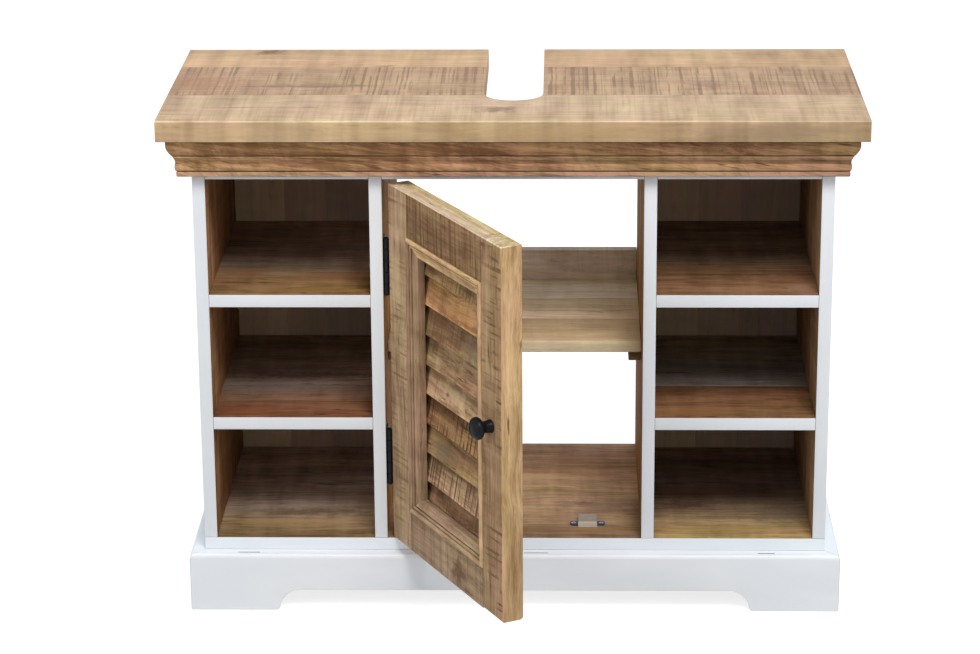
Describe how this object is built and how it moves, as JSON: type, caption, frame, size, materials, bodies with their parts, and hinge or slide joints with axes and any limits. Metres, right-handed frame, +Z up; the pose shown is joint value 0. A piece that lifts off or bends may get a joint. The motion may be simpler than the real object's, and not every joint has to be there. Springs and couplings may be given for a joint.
{
  "type": "vanity unit",
  "caption": "Free-standing basin cabinet in painted and oiled wood: open cubbies either side of a centre bay with a louvred door, under a moulded top with a U-shaped pipe cut-out.",
  "frame": {"origin": "on the floor, under the middle of the whole box with the door ajar as pictured", "axes": "+X to the right seen from the front, +Y to the back, +Z up"},
  "size_m": [0.8, 0.5734, 0.6],
  "materials": {
    "white_painted_wood": "white satin paint on solid wood",
    "bare_inside_wood": "brown stained wood with saw marks and lighter patches",
    "stained_cornice_wood": "reddish brown stained wood",
    "oiled_top_wood": "light oiled mango wood with dark saw marks across the grain",
    "weathered_door_wood": "grey-brown weathered wood with saw marks across the grain",
    "black_iron": "black satin lacquer",
    "zinc_steel": "bright zinc plating",
    "beige_plastic": "moulded matte plastic"
  },
  "bodies": {
    "cabinet": {"top_slab": "oiled_top_wood", "cornice_front": "stained_cornice_wood", "cornice_left": "stained_cornice_wood", "cornice_right": "stained_cornice_wood", "base_board": "white_painted_wood", "side_panel_left": "white_painted_wood", "side_panel_right": "white_painted_wood", "partition_left": "white_painted_wood", "partition_right": "white_painted_wood", "top_rail_centre": "white_painted_wood", "top_rail_left": "white_painted_wood", "top_rail_right": "white_painted_wood", "plinth_front": "white_painted_wood", "plinth_left": "white_painted_wood", "plinth_right": "white_painted_wood", "plinth_back": "white_painted_wood", "shelf_left_lower": "bare_inside_wood", "shelf_left_upper": "bare_inside_wood", "shelf_right_lower": "bare_inside_wood", "shelf_right_upper": "bare_inside_wood", "tower_back_left": "bare_inside_wood", "tower_back_right": "bare_inside_wood", "centre_shelf": "bare_inside_wood", "upstand_rail": "bare_inside_wood", "shelf_cleat_left": "bare_inside_wood", "shelf_cleat_right": "bare_inside_wood", "hinge_lower_frame_leaf": "black_iron", "hinge_lower_pin": "black_iron", "hinge_upper_frame_leaf": "black_iron", "hinge_upper_pin": "black_iron", "catch_plate": "black_iron", "catch_body": "beige_plastic"},
    "door": {"door_stile_hinge": "weathered_door_wood", "door_stile_free": "weathered_door_wood", "door_rail_top": "weathered_door_wood", "door_rail_bottom": "weathered_door_wood", "door_moulding_top": "weathered_door_wood", "door_moulding_bottom": "weathered_door_wood", "door_moulding_hinge": "weathered_door_wood", "door_moulding_free": "weathered_door_wood", "slat_1": "weathered_door_wood", "slat_2": "weathered_door_wood", "slat_3": "weathered_door_wood", "slat_4": "weathered_door_wood", "slat_5": "weathered_door_wood", "slat_6": "weathered_door_wood", "slat_7": "weathered_door_wood", "slat_8": "weathered_door_wood", "slat_9": "weathered_door_wood", "hinge_lower_door_leaf": "black_iron", "hinge_upper_door_leaf": "black_iron", "knob": "black_iron", "knob_screw": "zinc_steel", "strike_plate": "zinc_steel"}
  },
  "joints": [
    {"name": "door_hinge", "type": "hinge", "parent": "cabinet", "child": "door", "pos_m": [-0.1453, -0.02925, 0.3], "axis": [0, 0, -1], "range_deg": [-62.5, 72.5]}
  ]
}
